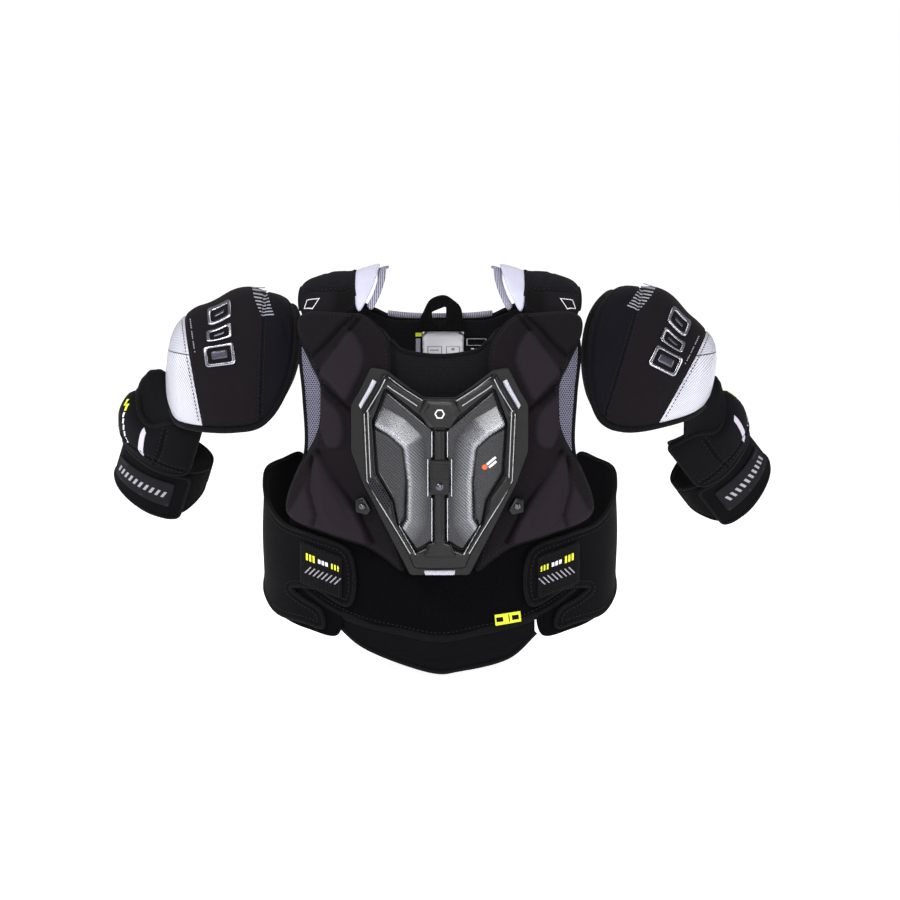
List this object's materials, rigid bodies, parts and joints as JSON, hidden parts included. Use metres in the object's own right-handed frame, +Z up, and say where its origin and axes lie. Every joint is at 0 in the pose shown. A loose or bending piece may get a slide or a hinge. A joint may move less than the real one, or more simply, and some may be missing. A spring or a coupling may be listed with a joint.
{
  "type": "hockey shoulder pads",
  "caption": "Padded hockey shoulder pads with rigid sternum guard, lifting shoulder caps, swinging bicep guards and opening waist straps.",
  "frame": {"origin": "middle of the line across the wearer's shoulders, inside the neck opening", "axes": "+X to the wearer's left, +Y to the wearer's back, +Z up"},
  "size_m": [0.66, 0.2444, 0.4086],
  "materials": {
    "mesh": "woven mesh liner",
    "pad": "fine brown-black weave over foam",
    "black": "black woven fabric",
    "navy": "smooth stretch fabric, navy black",
    "silver": "silver knurled film",
    "wing": "light soft lining",
    "plate": "carbon look glossy plate",
    "frame": "black moulded plastic",
    "metal": "bright metal",
    "accent": "light grey moulded bar",
    "label": "white satin label",
    "lime": "lime woven tag",
    "loop": "loop fastener fabric",
    "rubber": "soft rubber label"
  },
  "bodies": {
    "torso": {"front_liner": "mesh", "chest_pad_right": "pad", "chest_pad_left": "pad", "sternum_foam": "black", "sternum_base": "frame", "sternum_frame": "frame", "sternum_plate_right": "plate", "sternum_plate_left": "plate", "sternum_spine": "frame", "sternum_hub": "frame", "spine_sleeve": "frame", "spine_rivet": "metal", "accent_bottom": "accent", "accent_right": "accent", "accent_left": "accent", "frame_insert_right": "plate", "frame_insert_left": "plate", "anchor_lug_right": "frame", "anchor_lug_left": "frame", "anchor_rivet_right": "metal", "anchor_rivet_left": "metal", "belly_panel": "loop", "size_tag": "lime", "back_liner": "mesh", "back_panel": "black", "back_plate_upper": "frame", "back_plate_lower": "frame", "collar_wing_right": "wing", "collar_wing_left": "wing", "care_label": "label", "size_patch": "black", "yoke_pad_right": "navy", "yoke_pad_left": "navy"},
    "belly_pad": {"belly_pad": "black"},
    "hang_loop": {"hang_loop": "black"},
    "right_waist_strap": {"waist_strap_right": "black", "strap_tab_right": "rubber"},
    "right_cap": {"cap_liner_right": "mesh", "cap_shell_right": "black", "cap_cover_right": "navy", "cap_visor_right": "silver", "cap_binding_right": "black"},
    "right_bicep": {"bicep_liner_right": "mesh", "bicep_strap_right": "black", "bicep_guard_right": "black"},
    "right_bicep_flap": {"bicep_flap_right": "black", "bicep_patch_right": "rubber"},
    "left_waist_strap": {"waist_strap_left": "black", "strap_tab_left": "rubber"},
    "left_cap": {"cap_liner_left": "mesh", "cap_shell_left": "black", "cap_cover_left": "navy", "cap_visor_left": "silver", "cap_binding_left": "black"},
    "left_bicep": {"bicep_liner_left": "mesh", "bicep_strap_left": "black", "bicep_guard_left": "black"},
    "left_bicep_flap": {"bicep_flap_left": "black", "bicep_patch_left": "rubber"}
  },
  "joints": [
    {"name": "right_cap_lift", "type": "hinge", "parent": "torso", "child": "right_cap", "pos_m": [-0.139, 0, 0.006], "axis": [0, 1, 0], "range_deg": [-4, 45]},
    {"name": "right_bicep_swing", "type": "hinge", "parent": "right_cap", "child": "right_bicep", "pos_m": [-0.24983, 0, -0.11384], "axis": [0, 1, 0], "range_deg": [-14, 36]},
    {"name": "right_bicep_flap_peel", "type": "hinge", "parent": "right_bicep", "child": "right_bicep_flap", "pos_m": [-0.29288, 0.07288, -0.18067], "axis": [-0.2823, 0.4067, -0.8688], "range_deg": [0, 80]},
    {"name": "right_waist_strap_swing", "type": "hinge", "parent": "torso", "child": "right_waist_strap", "pos_m": [-0.137, 0.061, -0.24], "axis": [0, 0, -1], "range_deg": [0, 50]},
    {"name": "left_cap_lift", "type": "hinge", "parent": "torso", "child": "left_cap", "pos_m": [0.139, 0, 0.006], "axis": [0, -1, 0], "range_deg": [-4, 50]},
    {"name": "left_bicep_swing", "type": "hinge", "parent": "left_cap", "child": "left_bicep", "pos_m": [0.2363, 0, -0.12791], "axis": [0, -1, 0], "range_deg": [-30, 0]},
    {"name": "left_bicep_flap_peel", "type": "hinge", "parent": "left_bicep", "child": "left_bicep_flap", "pos_m": [0.29614, 0.07288, -0.18009], "axis": [-0.5624, -0.4067, 0.7199], "range_deg": [0, 80]},
    {"name": "left_waist_strap_swing", "type": "hinge", "parent": "torso", "child": "left_waist_strap", "pos_m": [0.137, 0.061, -0.24], "axis": [0, 0, 1], "range_deg": [0, 50]},
    {"name": "belly_pad_lift", "type": "hinge", "parent": "torso", "child": "belly_pad", "pos_m": [0, -0.099, -0.328], "axis": [-1, 0, 0], "range_deg": [0, 45]},
    {"name": "hang_loop_fold", "type": "hinge", "parent": "torso", "child": "hang_loop", "pos_m": [0, 0.0716, -0.043], "axis": [1, 0, 0], "range_deg": [0, 70], "stiffness_Nm_per_rad": 0.01}
  ]
}
